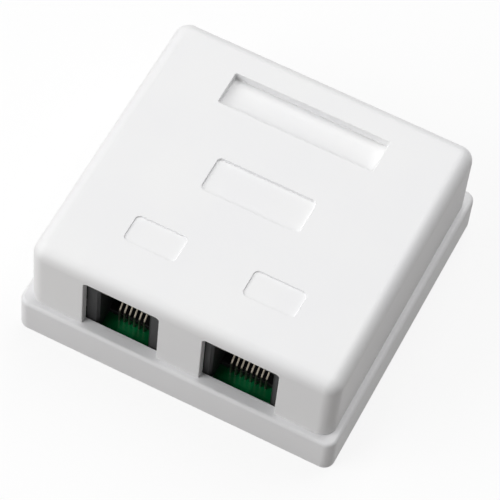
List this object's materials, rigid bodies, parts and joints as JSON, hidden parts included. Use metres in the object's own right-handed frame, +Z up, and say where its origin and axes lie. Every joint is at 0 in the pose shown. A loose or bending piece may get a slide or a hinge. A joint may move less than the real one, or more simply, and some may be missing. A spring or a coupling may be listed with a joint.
{
  "type": "surface mount jack box",
  "caption": "Square white surface mount box with a telephone jack and a data jack side by side in its front, a clip-on cover and punch-down terminals inside.",
  "frame": {"origin": "middle of the flat underside of the base", "axes": "+X along the port face from the voice jack to the data jack, ports facing -Y, +Z up out of the top of the cover"},
  "size_m": [0.0646, 0.0628, 0.025],
  "materials": {
    "cover_plastic": "white ABS moulding, smooth satin",
    "base_plastic": "white ABS moulding, smooth satin",
    "board_laminate": "green solder mask over glass-epoxy laminate",
    "solder": "bright solder",
    "jack_plastic": "dark grey PBT moulding",
    "block_plastic": "ivory PBT moulding",
    "contact_metal": "gold-plated phosphor bronze wire",
    "clip_metal": "tin-plated phosphor bronze strip",
    "screw_steel": "nickel-plated steel"
  },
  "bodies": {
    "base": {"base": "base_plastic", "circuit_board": "board_laminate", "solder_joints": "solder", "voice_jack_housing": "jack_plastic", "data_jack_housing": "jack_plastic", "voice_terminal_block": "block_plastic", "data_terminal_block": "block_plastic", "data_contact_1": "contact_metal", "data_contact_2": "contact_metal", "data_contact_3": "contact_metal", "data_contact_4": "contact_metal", "data_contact_5": "contact_metal", "data_contact_6": "contact_metal", "data_contact_7": "contact_metal", "data_contact_8": "contact_metal", "voice_contact_1": "contact_metal", "voice_contact_2": "contact_metal", "voice_contact_3": "contact_metal", "voice_contact_4": "contact_metal", "voice_contact_5": "contact_metal", "voice_contact_6": "contact_metal", "data_clip_1": "clip_metal", "data_clip_2": "clip_metal", "data_clip_3": "clip_metal", "data_clip_4": "clip_metal", "data_clip_5": "clip_metal", "data_clip_6": "clip_metal", "data_clip_7": "clip_metal", "data_clip_8": "clip_metal", "voice_clip_1": "clip_metal", "voice_clip_2": "clip_metal", "voice_clip_3": "clip_metal", "voice_clip_4": "clip_metal", "voice_clip_5": "clip_metal", "voice_clip_6": "clip_metal", "board_screw_1": "screw_steel", "board_screw_2": "screw_steel", "board_screw_3": "screw_steel"},
    "cover": {"cover": "cover_plastic"}
  },
  "joints": [
    {"name": "cover_lift", "type": "slide", "parent": "base", "child": "cover", "axis": [0, 0, 1], "range_m": [0, 0.03]}
  ]
}
